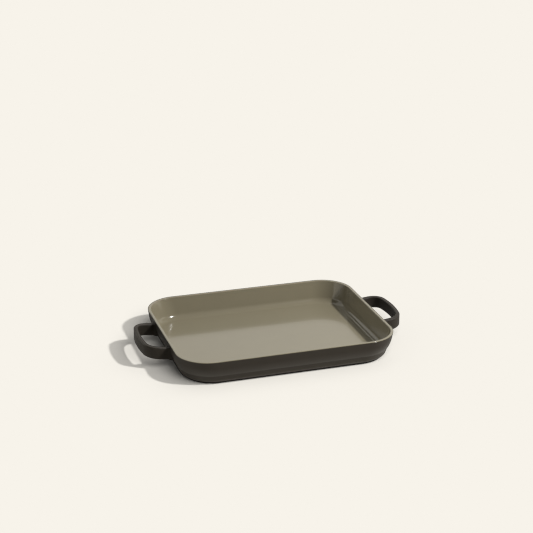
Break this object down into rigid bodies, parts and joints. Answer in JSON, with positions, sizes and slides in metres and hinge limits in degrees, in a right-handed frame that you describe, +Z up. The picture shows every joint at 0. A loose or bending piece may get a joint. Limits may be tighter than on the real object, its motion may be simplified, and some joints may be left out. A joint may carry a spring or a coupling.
{
  "type": "griddle pan",
  "caption": "Shallow rectangular griddle pan with rounded corners, a smooth ceramic-lined inside and a flat loop handle at each end.",
  "frame": {"origin": "middle of the base, on the surface that the pan stands on", "axes": "+X along the long side towards the right handle, +Y towards the back, +Z up"},
  "size_m": [0.4172, 0.2698, 0.04],
  "materials": {
    "charcoal_coat": "cast aluminium under a smooth charcoal coating, satin",
    "ceramic_lining": "smooth warm grey ceramic coating, glossy",
    "induction_steel": "brushed stainless steel sheet",
    "screw_steel": "plain stainless steel"
  },
  "bodies": {
    "root": {"pan_body": "charcoal_coat", "ceramic_lining": "ceramic_lining", "induction_base": "induction_steel", "right_handle": "charcoal_coat", "left_handle": "charcoal_coat", "right_handle_front_screw": "screw_steel", "right_handle_rear_screw": "screw_steel", "left_handle_front_screw": "screw_steel", "left_handle_rear_screw": "screw_steel"}
  },
  "joints": []
}
